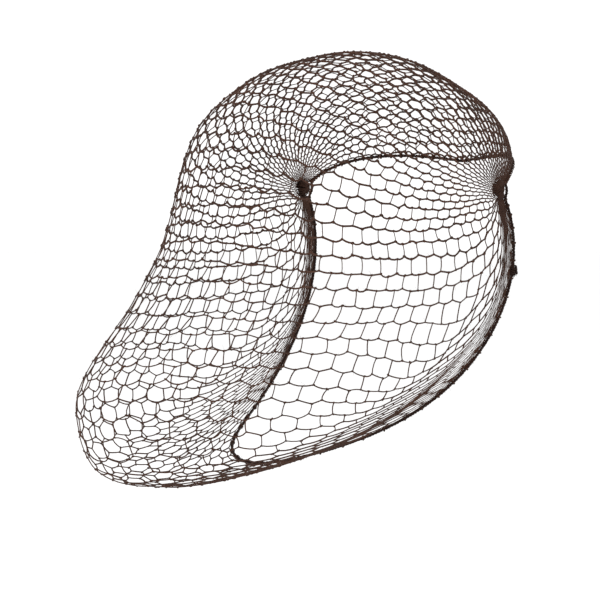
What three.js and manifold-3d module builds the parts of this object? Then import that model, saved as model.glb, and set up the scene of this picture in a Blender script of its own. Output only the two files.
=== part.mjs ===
// A knotted hairnet with a long bag at the back, in the form that it has when it is worn.
// Millimetres, +Z up. The wearer faces -Y, and the origin is midway between the two temples.
// The netting is swept about the line from temple to temple: each row of meshes is an arch
// that starts at one temple, crosses the middle at its own turn and ends at the other temple.
import * as THREE from 'three';
import { mergeVertices } from 'three/addons/utils/BufferGeometryUtils.js';
import Module from 'manifold-3d';

// Size of the net, measured from the temple line
const templeHalfWidth = 81;
const sideHalfWidth = 90;
const foreheadReach = 57;
const crownReach = 81;
const backReach = 148;
const bagReach = 272;
const napeReach = 193;

// Turn of the two edges about the temple line, in degrees from straight ahead
const foreheadTurn = 18;
const napeTurn = 233;
const foreheadBow = 27;
const napeBow = 68;

// Netting
const netThickness = 2.0;
const barWidth = 5.0;
const marginWidth = 6.0;
const meshRows = 17;
const meshColumns = 7;
const meshPoint = 0.25;
const templeFan = 0.07;
const rimShare = 0.6;

// Elastic and temples
const elasticDiameter = 1.8;
const gatherDiameter = 11;
const gatherHeight = 7;
const gatherFolds = 12;
const foldDepth = 0.8;
const gatherRoundness = 0.6;
const knotDiameter = 6;
const threadDiameter = 1.5;
const knotPlace = 0.085;
const knotTurns = { around: 2, through: 3 };
const knotTightness = 0.75;
const tailLength = 9;
const tailThinness = 0.8;
const clearance = 0.3;

// Bend of each tail of the knot, in shares of the tail length
const tailBend = [
  { name: 'root', out: 0.0, aside: 0.0, down: 0.0 },
  { name: 'middle', out: 0.4, aside: 0.1, down: 0.0 },
  { name: 'tip', out: 0.7, aside: 0.5, down: 0.2 },
];

// One row for each section: sweep is its place between the two edges, reach is a share of the
// named size that it follows, squareness shapes the arch and width is a share of the side width.
const sections = [
  { name: 'forehead edge', sweep: 0.0, follows: foreheadReach, reach: 1.0, squareness: 1.85, width: 0.93 },
  { name: 'hairline', sweep: 0.13, follows: foreheadReach, reach: 1.13, squareness: 1.9, width: 0.94 },
  { name: 'front of crown', sweep: 0.27, follows: crownReach, reach: 0.84, squareness: 1.95, width: 0.96 },
  { name: 'crown', sweep: 0.4, follows: crownReach, reach: 1.0, squareness: 1.95, width: 0.98 },
  { name: 'back of crown', sweep: 0.52, follows: crownReach, reach: 1.22, squareness: 1.9, width: 1.0 },
  { name: 'upper back', sweep: 0.61, follows: backReach, reach: 0.83, squareness: 1.9, width: 1.0 },
  { name: 'back', sweep: 0.68, follows: backReach, reach: 0.95, squareness: 2.05, width: 1.02 },
  { name: 'straight back', sweep: 0.75, follows: backReach, reach: 1.0, squareness: 2.2, width: 1.04 },
  { name: 'taut slope', sweep: 0.8, follows: backReach, reach: 1.09, squareness: 2.25, width: 1.04 },
  { name: 'top of bag', sweep: 0.84, follows: bagReach, reach: 0.71, squareness: 2.3, width: 1.02 },
  { name: 'rear of bag', sweep: 0.88, follows: bagReach, reach: 0.955, squareness: 2.15, width: 1.0 },
  { name: 'foot of bag', sweep: 0.91, follows: bagReach, reach: 0.99, squareness: 2.0, width: 1.0 },
  { name: 'under bag', sweep: 0.95, follows: bagReach, reach: 0.89, squareness: 1.85, width: 1.0 },
  { name: 'bag corner', sweep: 0.98, follows: napeReach, reach: 1.1, squareness: 1.85, width: 1.0 },
  { name: 'nape edge', sweep: 1.0, follows: napeReach, reach: 1.0, squareness: 2.05, width: 1.0 },
];
const foreheadBowPower = 1.3;
const foreheadBowFade = 3.5;
const napeBowPower = 2.4;
const napeBowFade = 2.7;

// Fineness of the surface
const gridRows = 180;
const gridColumns = 160;
const archSteps = 60;
const edgeSteps = { forehead: 28, nape: 52, temple: 3 };
const fanSteps = 4;
const elasticSides = 8;
const elasticCrowding = 0.92;
const gatherRings = 6;
const knotSteps = { along: 30, round: 5, tail: 5, tailCurve: 3 };
const lengthStepsPerRow = 4;
const normalStep = 0.006;
const edgeStep = 0.004;
const edgeDepth = 0.01;
const cornerDigits = 6;
const mergeDistance = 1e-5;

// Colours
const finishes = {
  netting: { color: 0x45322a, roughness: 0.75 },
  elastic: { color: 0x2a1c16, roughness: 0.85 },
  gather: { color: 0x3a2820, roughness: 0.8 },
};

const degree = Math.PI / 180;
const elasticRadius = elasticDiameter / 2;
const gatherRadius = gatherDiameter / 2;
const eyeRadius = gatherRadius + clearance;

// A smooth value between the rows of the section table, without overshoot
function sectionValue(sweep, read) {
  const last = sections.length - 1;
  let k = 0;
  while (k < last - 1 && sections[k + 1].sweep < sweep) {
    k += 1;
  }
  const spanOf = (i) => sections[i + 1].sweep - sections[i].sweep;
  const rise = (i) => (read(sections[i + 1]) - read(sections[i])) / spanOf(i);
  const slope = (i) => {
    if (i === 0) {
      return rise(0);
    }
    if (i === last) {
      return rise(last - 1);
    }
    const before = rise(i - 1);
    const after = rise(i);
    return before * after > 0 ? (2 * before * after) / (before + after) : 0;
  };
  const span = spanOf(k);
  const t = THREE.MathUtils.clamp((sweep - sections[k].sweep) / span, 0, 1);
  const t2 = t * t;
  const t3 = t2 * t;
  return (2 * t3 - 3 * t2 + 1) * read(sections[k])
    + (t3 - 2 * t2 + t) * span * slope(k)
    + (3 * t2 - 2 * t3) * read(sections[k + 1])
    + (t3 - t2) * span * slope(k + 1);
}

const reachAt = (sweep) => sectionValue(sweep, (row) => row.follows * row.reach);

// The point of the arch at one sweep; lean runs from -1 at the right temple to 1 at the left
function archPoint(sweep, lean) {
  const reach = reachAt(sweep);
  const squareness = sectionValue(sweep, (row) => row.squareness);
  const widest = sideHalfWidth * sectionValue(sweep, (row) => row.width);
  const lastAngle = Math.acos(Math.pow(eyeRadius / reach, squareness / 2));
  const angle = Math.abs(lean) * lastAngle;
  const across = Math.pow(Math.sin(angle), 2 / squareness);
  const out = Math.pow(Math.cos(angle), 2 / squareness);
  const halfWidth = templeHalfWidth + (widest - templeHalfWidth) * Math.sin(out * Math.PI / 2);
  const bow = foreheadBow * Math.pow(Math.abs(lean), foreheadBowPower) * Math.pow(1 - sweep, foreheadBowFade)
    + napeBow * Math.pow(Math.abs(lean), napeBowPower) * Math.pow(sweep, napeBowFade);
  const turn = (foreheadTurn + (napeTurn - foreheadTurn) * sweep + bow) * degree;
  const radius = reach * out;
  return new THREE.Vector3(
    Math.sign(lean) * halfWidth * across,
    -radius * Math.cos(turn),
    radius * Math.sin(turn),
  );
}

// Sweep of each row when the rows are evenly spaced along the middle of the net
function evenSweeps() {
  const middle = [];
  for (let i = 0; i <= gridRows; i += 1) {
    middle.push(archPoint(i / gridRows, 0));
  }
  const curve = new THREE.CatmullRomCurve3(middle);
  curve.arcLengthDivisions = gridRows * lengthStepsPerRow;
  const sweeps = [];
  for (let i = 0; i <= gridRows; i += 1) {
    sweeps.push(curve.getUtoTmapping(i / gridRows));
  }
  return sweeps;
}

// The whole surface as a grid of points, even along the middle and even along each arch
function makeSheet() {
  return evenSweeps().map((sweep) => {
    const arch = [];
    for (let j = 0; j <= archSteps; j += 1) {
      arch.push(archPoint(sweep, (2 * j) / archSteps - 1));
    }
    return new THREE.CatmullRomCurve3(arch).getSpacedPoints(gridColumns);
  });
}

const sheet = makeSheet();

// A point of the surface: down runs from the forehead edge to the nape edge, along from the
// right temple to the left temple, both 0 to 1
function sheetPoint(down, along) {
  const row = THREE.MathUtils.clamp(down, 0, 1) * gridRows;
  const column = THREE.MathUtils.clamp(along, 0, 1) * gridColumns;
  const i = Math.min(Math.floor(row), gridRows - 1);
  const j = Math.min(Math.floor(column), gridColumns - 1);
  const upper = sheet[i][j].clone().lerp(sheet[i][j + 1], column - j);
  const lower = sheet[i + 1][j].clone().lerp(sheet[i + 1][j + 1], column - j);
  return upper.lerp(lower, row - i);
}

function sheetNormal(down, along) {
  const acrossRows = sheetPoint(down + normalStep, along).sub(sheetPoint(down - normalStep, along));
  const alongRow = sheetPoint(down, along + normalStep).sub(sheetPoint(down, along - normalStep));
  return alongRow.cross(acrossRows).normalize();
}

function lifted(down, along, lift) {
  return sheetPoint(down, along).addScaledVector(sheetNormal(down, along), lift);
}

// Length of the middle of the net, which turns millimetres into shares of it
function middleLength() {
  let length = 0;
  for (let i = 0; i < gridRows; i += 1) {
    length += sheetPoint(i / gridRows, 0.5).distanceTo(sheetPoint((i + 1) / gridRows, 0.5));
  }
  return length;
}

// A list of triangles on numbered corners; each corner is made once for both faces of the net
class Netting {
  constructor() {
    this.positions = [];
    this.triangles = [];
    this.known = new Map();
  }

  // Corner of the outer face (side 1) or inner face (side -1)
  corner(point, side, rise) {
    const key = `${point.map((value) => value.toFixed(cornerDigits)).join(' ')} ${side}`;
    if (!this.known.has(key)) {
      const place = lifted(point[0], point[1], side * rise);
      this.known.set(key, this.positions.length / 3);
      this.positions.push(place.x, place.y, place.z);
    }
    return this.known.get(key);
  }

  quad(a, b, c, d) {
    this.triangles.push(a, b, c, a, c, d);
  }

  // A band of the net between two chains of points, on both faces
  band(near, far, nearRise, farRise) {
    for (let k = 0; k + 1 < near.length; k += 1) {
      const outer = [
        this.corner(near[k], 1, nearRise),
        this.corner(near[k + 1], 1, nearRise),
        this.corner(far[k + 1], 1, farRise),
        this.corner(far[k], 1, farRise),
      ];
      const inner = [
        this.corner(near[k], -1, nearRise),
        this.corner(near[k + 1], -1, nearRise),
        this.corner(far[k + 1], -1, farRise),
        this.corner(far[k], -1, farRise),
      ];
      this.quad(...outer);
      this.quad(inner[3], inner[2], inner[1], inner[0]);
    }
  }

  // The wall through the net along a chain of points
  wall(chain, rise) {
    for (let k = 0; k + 1 < chain.length; k += 1) {
      this.quad(
        this.corner(chain[k], 1, rise),
        this.corner(chain[k], -1, rise),
        this.corner(chain[k + 1], -1, rise),
        this.corner(chain[k + 1], 1, rise),
      );
    }
  }

  geometry() {
    const geometry = new THREE.BufferGeometry();
    geometry.setAttribute('position', new THREE.Float32BufferAttribute(this.positions, 3));
    geometry.setIndex(this.triangles);
    return geometry;
  }
}

const between = (from, to, share) => from.map((value, axis) => value + (to[axis] - value) * share);

// Points along the sides of an outline; the slanted sides of a mesh have a point in their middle
function splitSides(corners) {
  const points = [];
  corners.forEach((from, k) => {
    points.push(from);
    const to = corners[k + 1];
    if (to && from[0] !== to[0] && from[1] !== to[1]) {
      points.push(between(from, to, 0.5));
    }
  });
  return points;
}

// Corners of one six-sided mesh, from its forehead side round to its right-hand side
function meshCorners(row, column, lay) {
  const shift = row % 2 === 0 ? 0 : 0.5;
  const half = 2 * (column + shift);
  const lines = [half, half + 1, half + 2].map((step) => lay.start + (step * lay.pitch) / 2);
  const top = lay.top + row * lay.drop;
  const bottom = lay.top + (row + 1) * lay.drop;
  const point = lay.drop * meshPoint;
  return [
    [top + point, lines[0]],
    [top - point, lines[1]],
    [top + point, lines[2]],
    [bottom - point, lines[2]],
    [bottom + point, lines[1]],
    [bottom - point, lines[0]],
  ];
}

// The opening inside a mesh: its corners moved in by half a bar, measured on the surface
function openingCorners(corners) {
  const middle = between(corners[0], corners[3], 0.5);
  const height = sheetPoint(corners[0][0], middle[1]).distanceTo(sheetPoint(corners[5][0], middle[1]));
  const drop = height / (1 - 2 * meshPoint);
  const width = sheetPoint(middle[0], corners[0][1]).distanceTo(sheetPoint(middle[0], corners[2][1]));
  const keep = [1 - barWidth / drop, 1 - barWidth / width];
  const moved = (value, axis) => middle[axis] + (value - middle[axis]) * keep[axis];
  return corners.map((corner) => corner.map(moved));
}

// The zigzag that the outermost meshes leave on each side of the netting
function outerChains(lay) {
  const rows = [...Array(meshRows).keys()];
  const columns = [...Array(meshColumns).keys()];
  const lastRow = meshRows - 1;
  const lastColumn = meshColumns - 1;
  const pick = (row, column, numbers) => numbers.map((k) => meshCorners(row, column, lay)[k]);
  return {
    forehead: [...pick(0, 0, [0]), ...columns.flatMap((column) => pick(0, column, [1, 2]))],
    nape: [...pick(lastRow, 0, [5]), ...columns.flatMap((column) => pick(lastRow, column, [4, 3]))],
    right: rows.flatMap((row) => pick(row, 0, [0, 5])),
    left: rows.flatMap((row) => pick(row, lastColumn, [2, 3])),
  };
}

function makeNet() {
  const netting = new Netting();
  const margin = marginWidth / middleLength();
  const pitch = (1 - 2 * templeFan) / (meshColumns + 0.5);
  const drop = (1 - 2 * margin) / (meshRows + 2 * meshPoint);
  const lay = { start: templeFan, pitch, top: margin + drop * meshPoint, drop };
  const ridge = netThickness / 2;
  const rim = ridge * rimShare;

  for (let row = 0; row < meshRows; row += 1) {
    for (let column = 0; column < meshColumns; column += 1) {
      const corners = meshCorners(row, column, lay);
      const opening = openingCorners(corners);
      const outline = splitSides([...corners, corners[0]]);
      const hole = splitSides([...opening, opening[0]]);
      netting.band(outline, hole, ridge, rim);
      netting.wall(hole.reverse(), rim);
    }
  }

  const chains = outerChains(lay);
  const forehead = splitSides(chains.forehead);
  const left = splitSides(chains.left);
  const nape = splitSides(chains.nape).reverse();
  const right = splitSides(chains.right).reverse();
  const push = (chain, edge) => chain.map((point) => edge.map((value, axis) => value ?? point[axis]));
  const border = [];

  // The forehead and nape margins
  for (const [chain, edge] of [[forehead, [0, null]], [nape, [1, null]]]) {
    const outer = push(chain, edge);
    netting.band(outer, chain, rim, ridge);
    border.push(outer);
  }

  // The fans at the temples, where the meshes are drawn together
  for (const [chain, edge] of [[left, [null, 1]], [right, [null, 0]]]) {
    const outer = push(chain, edge);
    for (let step = 0; step < fanSteps; step += 1) {
      const nearer = chain.map((point, k) => between(outer[k], point, step / fanSteps));
      const farther = chain.map((point, k) => between(outer[k], point, (step + 1) / fanSteps));
      netting.band(nearer, farther, step === 0 ? rim : ridge, ridge);
    }
    border.push(outer);
  }

  // The four corners between a margin and a fan
  const cornerBand = (start, end, edge) => {
    const steps = [...Array(fanSteps + 1).keys()];
    const inner = steps.map((step) => between(start, end, step / fanSteps));
    const outer = push(inner, edge);
    return [outer, inner];
  };
  const toTemple = (point, along) => [point[0], along];
  const bands = [
    cornerBand(toTemple(forehead[0], 0), forehead[0], [0, null]),
    cornerBand(forehead.at(-1), toTemple(forehead.at(-1), 1), [0, null]),
    cornerBand(toTemple(nape[0], 1), nape[0], [1, null]),
    cornerBand(nape.at(-1), toTemple(nape.at(-1), 0), [1, null]),
  ];
  for (const [outer, inner] of bands) {
    netting.band(outer, inner, rim, ridge);
    border.push(outer);
  }
  border.push([[0, 1], toTemple(forehead.at(-1), 1)]);
  border.push([toTemple(nape[0], 1), [1, 1]]);
  border.push([[1, 0], toTemple(nape.at(-1), 0)]);
  border.push([toTemple(forehead[0], 0), [0, 0]]);
  border.forEach((chain) => netting.wall(chain, rim));
  return netting.geometry();
}

// Centre line of the elastic: it lies against the edge of the net, and passes the temple gathers
// on the side of the face. Each listed point carries one ring of the cord.
class ElasticPath extends THREE.CatmullRomCurve3 {
  getPointAt(share, target) {
    return this.getPoint(share, target);
  }

  getTangentAt(share, target) {
    return this.getTangent(share, target);
  }
}

const elasticTurnRadius = gatherRadius + clearance + elasticRadius;

// Moves a point straight out from the temple line until it lies beside the gather
function besideGather(place) {
  const out = Math.hypot(place.y, place.z);
  place.y *= elasticTurnRadius / out;
  place.z *= elasticTurnRadius / out;
  return place;
}

const clearOfGather = (place) => (
  Math.hypot(place.y, place.z) < elasticTurnRadius ? besideGather(place) : place
);

// Direction that leads away from the netting at an edge, square to the edge
function awayFromNet(down, along) {
  const inside = sheetPoint(down === 0 ? edgeDepth : 1 - edgeDepth, along);
  const away = sheetPoint(down, along).sub(inside);
  const ahead = sheetPoint(down, along + edgeStep);
  const tangent = ahead.sub(sheetPoint(down, along - edgeStep)).normalize();
  return away.addScaledVector(tangent, -away.dot(tangent)).normalize();
}

function besideEdge(down, along, distance) {
  return sheetPoint(down, along).addScaledVector(awayFromNet(down, along), distance);
}

// Shares along an edge, closer together near the temples
function edgeShares(count) {
  const quarterTurn = (Math.PI / 2) * elasticCrowding;
  return [...Array(count + 1).keys()].map((k) => {
    const even = (2 * k) / count - 1;
    return (1 + Math.sin(even * quarterTurn) / Math.sin(quarterTurn)) / 2;
  });
}

function elasticPoints() {
  const line = (down, count) => edgeShares(count)
    .map((along) => clearOfGather(besideEdge(down, along, clearance + elasticRadius)));
  const forehead = line(0, edgeSteps.forehead);
  const nape = line(1, edgeSteps.nape).reverse();
  const aroundGather = (from, to) => [...Array(edgeSteps.temple).keys()].map((k) => {
    const share = (k + 1) / (edgeSteps.temple + 1);
    return besideGather(from.clone().lerp(to, share));
  });
  return [
    ...forehead,
    ...aroundGather(forehead.at(-1), nape[0]),
    ...nape,
    ...aroundGather(nape.at(-1), forehead[0]),
  ];
}

const elasticPath = new ElasticPath(elasticPoints(), true);

// The elastic is a loop, so its tube runs back into itself and has no ends
function makeElastic() {
  const rings = elasticPath.points.length;
  return new THREE.TubeGeometry(elasticPath, rings, elasticRadius, elasticSides, true);
}

// A bunch of drawn-up meshes: a turned body with folds round it, its axis on the temple line
function makeGather() {
  const half = gatherHeight / 2;
  const profile = [];
  for (let k = 0; k <= gatherRings; k += 1) {
    const angle = (k / gatherRings - 0.5) * Math.PI;
    const atPole = k === 0 || k === gatherRings;
    const radius = atPole ? 0 : gatherRadius * Math.pow(Math.cos(angle), gatherRoundness);
    profile.push(new THREE.Vector2(radius, half * Math.sin(angle)));
  }
  const geometry = new THREE.LatheGeometry(profile, gatherFolds * 2);
  const position = geometry.attributes.position;
  for (let i = 0; i < position.count; i += 1) {
    const radius = Math.hypot(position.getX(i), position.getZ(i));
    const fold = Math.cos(gatherFolds * Math.atan2(position.getX(i), position.getZ(i)));
    const scale = radius > foldDepth ? (radius - (foldDepth * (1 - fold)) / 2) / radius : 1;
    position.setXYZ(i, position.getX(i) * scale, position.getY(i), position.getZ(i) * scale);
  }
  geometry.rotateZ(-Math.PI / 2);
  return geometry;
}

const wasm = await Module();
wasm.setup();

// One closed solid from a closed shape
function solid(geometry) {
  const bare = geometry.clone();
  bare.deleteAttribute('normal');
  bare.deleteAttribute('uv');
  const merged = mergeVertices(bare, mergeDistance);
  return new wasm.Manifold(new wasm.Mesh({
    numProp: 3,
    vertProperties: new Float32Array(merged.attributes.position.array),
    triVerts: new Uint32Array(merged.index.array),
  }));
}

function geometryOf(body) {
  const mesh = body.getMesh();
  const geometry = new THREE.BufferGeometry();
  geometry.setAttribute('position', new THREE.Float32BufferAttribute(mesh.vertProperties, 3));
  geometry.setIndex([...mesh.triVerts]);
  return geometry;
}

// The knot that joins the ends of the elastic, with its two short tails
function makeKnot() {
  const threadRadius = threadDiameter / 2;
  const turn = knotDiameter / 2 - threadRadius;
  const knot = solid(new THREE.TorusKnotGeometry(
    turn * knotTightness,
    threadRadius,
    knotSteps.along,
    knotSteps.round,
    knotTurns.around,
    knotTurns.through,
  ));
  const tails = [-1, 1].map((side) => {
    const bends = tailBend.map((bend) => new THREE.Vector3(
      turn + tailLength * bend.out,
      side * tailLength * bend.aside,
      -tailLength * bend.down,
    ));
    const round = new THREE.Shape().absarc(0, 0, threadRadius * tailThinness, 0, Math.PI * 2);
    return solid(new THREE.ExtrudeGeometry(round, {
      extrudePath: new THREE.QuadraticBezierCurve3(...bends),
      steps: knotSteps.tail,
      curveSegments: knotSteps.tailCurve,
      bevelEnabled: false,
    }));
  });
  return geometryOf(tails.reduce((whole, tail) => whole.add(tail), knot));
}

const model = new THREE.Group();

function addPiece(name, geometry, finish) {
  const mesh = new THREE.Mesh(geometry, new THREE.MeshStandardMaterial(finish));
  mesh.name = name;
  model.add(mesh);
  return mesh;
}

addPiece('net', makeNet(), finishes.netting);
addPiece('edge_elastic', makeElastic(), finishes.elastic);
addPiece('temple_gather_right', makeGather(), finishes.gather).position.set(-templeHalfWidth, 0, 0);
addPiece('temple_gather_left', makeGather(), finishes.gather).position.set(templeHalfWidth, 0, 0);

const knotSeat = clearance * 2 + elasticDiameter + knotDiameter / 2;
addPiece('elastic_knot', makeKnot(), finishes.elastic).position.copy(besideEdge(1, knotPlace, knotSeat));

export default model;
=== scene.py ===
import math

import bpy
import numpy as np
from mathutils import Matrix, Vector


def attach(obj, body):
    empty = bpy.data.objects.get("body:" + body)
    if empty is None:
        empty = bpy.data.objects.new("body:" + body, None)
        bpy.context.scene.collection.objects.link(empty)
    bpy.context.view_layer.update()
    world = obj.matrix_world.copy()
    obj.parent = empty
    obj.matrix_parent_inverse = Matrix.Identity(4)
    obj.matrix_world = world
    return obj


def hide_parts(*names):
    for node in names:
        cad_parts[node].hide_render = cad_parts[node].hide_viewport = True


# A knotted hairnet with a long bag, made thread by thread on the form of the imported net.
# Lengths in the tables are millimetres; every mesh is written in metres.

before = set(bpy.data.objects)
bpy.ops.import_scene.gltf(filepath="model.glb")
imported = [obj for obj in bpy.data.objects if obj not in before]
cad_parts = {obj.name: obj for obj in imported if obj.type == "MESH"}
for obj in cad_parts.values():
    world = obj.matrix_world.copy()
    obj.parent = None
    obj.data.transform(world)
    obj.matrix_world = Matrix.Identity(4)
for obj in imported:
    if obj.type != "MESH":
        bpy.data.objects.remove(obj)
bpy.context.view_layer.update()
rng = np.random.default_rng(27)
MM = 0.001
TINY = 1e-12

# Size of the net, measured from the temple line
TEMPLE_HALF_WIDTH = 81.0
SIDE_HALF_WIDTH = 90.0
FOREHEAD_REACH = 57.0
CROWN_REACH = 81.0
BACK_REACH = 148.0
BAG_REACH = 272.0
NAPE_REACH = 193.0

# Turn of the two edges about the temple line, in degrees from straight ahead
FOREHEAD_TURN, NAPE_TURN = 18.0, 233.0
FOREHEAD_BOW, FOREHEAD_BOW_POWER, FOREHEAD_BOW_FADE = 27.0, 1.3, 3.5
NAPE_BOW, NAPE_BOW_POWER, NAPE_BOW_FADE = 68.0, 2.4, 2.7

# Elastic and temples
ELASTIC_RADIUS = 0.9
GATHER_RADIUS = 5.5
GATHER_HALF_HEIGHT = 3.5
CLEARANCE = 0.3
EYE_RADIUS = GATHER_RADIUS + CLEARANCE
KNOT_PLACE = 0.085
KNOT_RADIUS = 3.0

# Name, sweep, size that the row follows, reach, squareness and width
SECTIONS = (
    ("forehead edge", 0.00, FOREHEAD_REACH, 1.000, 1.85, 0.93),
    ("hairline", 0.13, FOREHEAD_REACH, 1.130, 1.90, 0.94),
    ("front of crown", 0.27, CROWN_REACH, 0.840, 1.95, 0.96),
    ("crown", 0.40, CROWN_REACH, 1.000, 1.95, 0.98),
    ("back of crown", 0.52, CROWN_REACH, 1.220, 1.90, 1.00),
    ("upper back", 0.61, BACK_REACH, 0.830, 1.90, 1.00),
    ("back", 0.68, BACK_REACH, 0.950, 2.05, 1.02),
    ("straight back", 0.75, BACK_REACH, 1.000, 2.20, 1.04),
    ("taut slope", 0.80, BACK_REACH, 1.090, 2.25, 1.04),
    ("top of bag", 0.84, BAG_REACH, 0.710, 2.30, 1.02),
    ("rear of bag", 0.88, BAG_REACH, 0.955, 2.15, 1.00),
    ("foot of bag", 0.91, BAG_REACH, 0.990, 2.00, 1.00),
    ("under bag", 0.95, BAG_REACH, 0.890, 1.85, 1.00),
    ("bag corner", 0.98, NAPE_REACH, 1.100, 1.85, 1.00),
    ("nape edge", 1.00, NAPE_REACH, 1.000, 2.05, 1.00),
)
SWEEPS = np.array([row[1] for row in SECTIONS])
REACHES = np.array([row[2] * row[3] for row in SECTIONS])
SQUARENESS = np.array([row[4] for row in SECTIONS])
WIDTHS = np.array([row[5] for row in SECTIONS])

# Netting: rows run from temple to temple, and two half columns make one mesh
ROWS, COLUMNS = 55, 46
MOST_CROWDING = 1.95
SHARPEST_CROWDING = 6.0
POINT_ON_HEAD, POINT_ON_SIDE, POINT_ON_BAG = 0.09, 0.06, 0.13
ROW_RADIUS_HEAD, ROW_RADIUS_BAG = 0.54, 0.38
LINK_RADIUS_HEAD, LINK_RADIUS_BAG = 0.29, 0.35
KNOT_HALF_LENGTH, KNOT_THICKNESS = 0.95, 1.4

# Room between rows, and the thickness of the threads there against the open netting
THREAD_SHARES = ((0.40, 0.36), (1.2, 0.64), (3.2, 1.0))

# Place down the middle, and the height of a row of meshes there against the others
ROW_HEIGHTS = (
    (0.00, 0.78),
    (0.25, 0.95),
    (0.40, 1.00),
    (0.48, 1.08),
    (0.56, 1.16),
    (0.60, 1.28),
    (0.65, 1.25),
    (0.69, 1.14),
    (0.80, 1.10),
    (1.00, 1.02),
)

# Place of a row at the middle, share along at which it leaves the elastic, bend and mesh width
COURSES = (
    ("forehead edge", 0.00, 0.000, 0.004, 9.5),
    ("crown", 0.35, 0.000, 0.004, 10.5),
    ("temple line", 0.46, 0.000, 0.008, 10.5),
    ("under the temples", 0.50, 0.000, 0.020, 10.5),
    ("first to bend", 0.53, 0.004, 0.036, 11.0),
    ("upper side", 0.553, 0.018, 0.048, 11.5),
    ("side", 0.60, 0.060, 0.053, 12.3),
    ("lower side", 0.645, 0.108, 0.052, 12.8),
    ("top of bag", 0.70, 0.158, 0.052, 12.9),
    ("rear of bag", 0.75, 0.180, 0.055, 12.9),
    ("foot of bag", 0.80, 0.200, 0.055, 12.9),
    ("under bag", 0.90, 0.235, 0.055, 12.8),
    ("nape edge", 1.00, 0.260, 0.055, 12.6),
)
COURSE_PLACES, COURSE_STARTS, COURSE_BENDS, MESH_WIDTHS = np.array([row[1:] for row in COURSES]).T
COURSE_SOFTNESS = 0.014
BUNCHING = 1.1
MOST_BUNCHED = 0.5

# Fineness
SHEET_ROWS, SHEET_COLUMNS = 360, 320
MIDDLE_SAMPLES, ARCH_SAMPLES, LINE_SAMPLES = 2001, 601, 801
THREAD_SIDES = 6
THREAD_RINGS = 4
SHORTEST_THREAD = 0.25


def unit(vectors):
    return vectors / np.maximum(np.linalg.norm(vectors, axis=-1, keepdims=True), TINY)


def smooth(value, low, high):
    t = np.clip((value - low) / (high - low), 0, 1)
    return t * t * (3 - 2 * t)


def gone_along(points):
    """Length from the first point to each point of a line."""
    steps = np.linalg.norm(np.diff(points, axis=0), axis=1)
    return np.concatenate([[0.0], np.cumsum(steps)])


# Form of the net


def between_sections(sweep, values):
    """A smooth value between the rows of the section table, without overshoot."""
    rise = np.diff(values) / np.diff(SWEEPS)
    product = rise[:-1] * rise[1:]
    total = rise[:-1] + rise[1:]
    middle = np.where(product > 0, 2 * product / np.where(product > 0, total, 1), 0)
    slope = np.concatenate([rise[:1], middle, rise[-1:]])
    k = np.clip(np.searchsorted(SWEEPS, sweep) - 1, 0, len(SWEEPS) - 2)
    span = SWEEPS[k + 1] - SWEEPS[k]
    t = np.clip((sweep - SWEEPS[k]) / span, 0, 1)
    t2, t3 = t**2, t**3
    return (
        (2 * t3 - 3 * t2 + 1) * values[k]
        + (t3 - 2 * t2 + t) * span * slope[k]
        + (3 * t2 - 2 * t3) * values[k + 1]
        + (t3 - t2) * span * slope[k + 1]
    )


def arch_point(sweep, lean):
    """A point of the arch at one sweep; lean runs from -1 at the right temple to 1 at the left."""
    reach = between_sections(sweep, REACHES)
    squareness = between_sections(sweep, SQUARENESS)
    widest = SIDE_HALF_WIDTH * between_sections(sweep, WIDTHS)
    last_angle = np.arccos((EYE_RADIUS / reach) ** (squareness / 2))
    angle = np.abs(lean) * last_angle
    across = np.sin(angle) ** (2 / squareness)
    out = np.cos(angle) ** (2 / squareness)
    half_width = TEMPLE_HALF_WIDTH + (widest - TEMPLE_HALF_WIDTH) * np.sin(out * np.pi / 2)
    forehead_bow = np.abs(lean) ** FOREHEAD_BOW_POWER * (1 - sweep) ** FOREHEAD_BOW_FADE
    nape_bow = np.abs(lean) ** NAPE_BOW_POWER * sweep**NAPE_BOW_FADE
    turn = np.radians(
        FOREHEAD_TURN
        + (NAPE_TURN - FOREHEAD_TURN) * sweep
        + FOREHEAD_BOW * forehead_bow
        + NAPE_BOW * nape_bow
    )
    radius = reach * out
    return np.stack(
        [np.sign(lean) * half_width * across, -radius * np.cos(turn), radius * np.sin(turn)], -1
    )


def make_form():
    """Points of the form, even along its middle and along each arch."""
    sweeps = np.linspace(0, 1, MIDDLE_SAMPLES)
    gone = gone_along(arch_point(sweeps, np.zeros_like(sweeps)))
    rows = np.interp(np.linspace(0, 1, SHEET_ROWS + 1), gone / gone[-1], sweeps)
    leans = np.linspace(-1, 1, ARCH_SAMPLES)
    even = np.linspace(0, 1, SHEET_COLUMNS + 1)
    grid = []
    for sweep in rows:
        gone = gone_along(arch_point(np.full_like(leans, sweep), leans))
        spaced = np.interp(even, gone / gone[-1], leans)
        grid.append(arch_point(np.full_like(spaced, sweep), spaced))
    return np.array(grid)


FORM = make_form()


def form_point(down, along):
    """Points of the form: down from forehead to nape edge, along from right to left."""
    row = np.clip(down, 0, 1) * SHEET_ROWS
    column = np.clip(along, 0, 1) * SHEET_COLUMNS
    i = np.minimum(row.astype(int), SHEET_ROWS - 1)
    j = np.minimum(column.astype(int), SHEET_COLUMNS - 1)
    p, q = (row - i)[..., None], (column - j)[..., None]
    upper = FORM[i, j] * (1 - q) + FORM[i, j + 1] * q
    lower = FORM[i + 1, j] * (1 - q) + FORM[i + 1, j + 1] * q
    return upper * (1 - p) + lower * p


def form_normal(down, along, step=0.006):
    across = form_point(down + step, along) - form_point(down - step, along)
    run = form_point(down, along + step) - form_point(down, along - step)
    return unit(np.cross(run, across))


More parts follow.
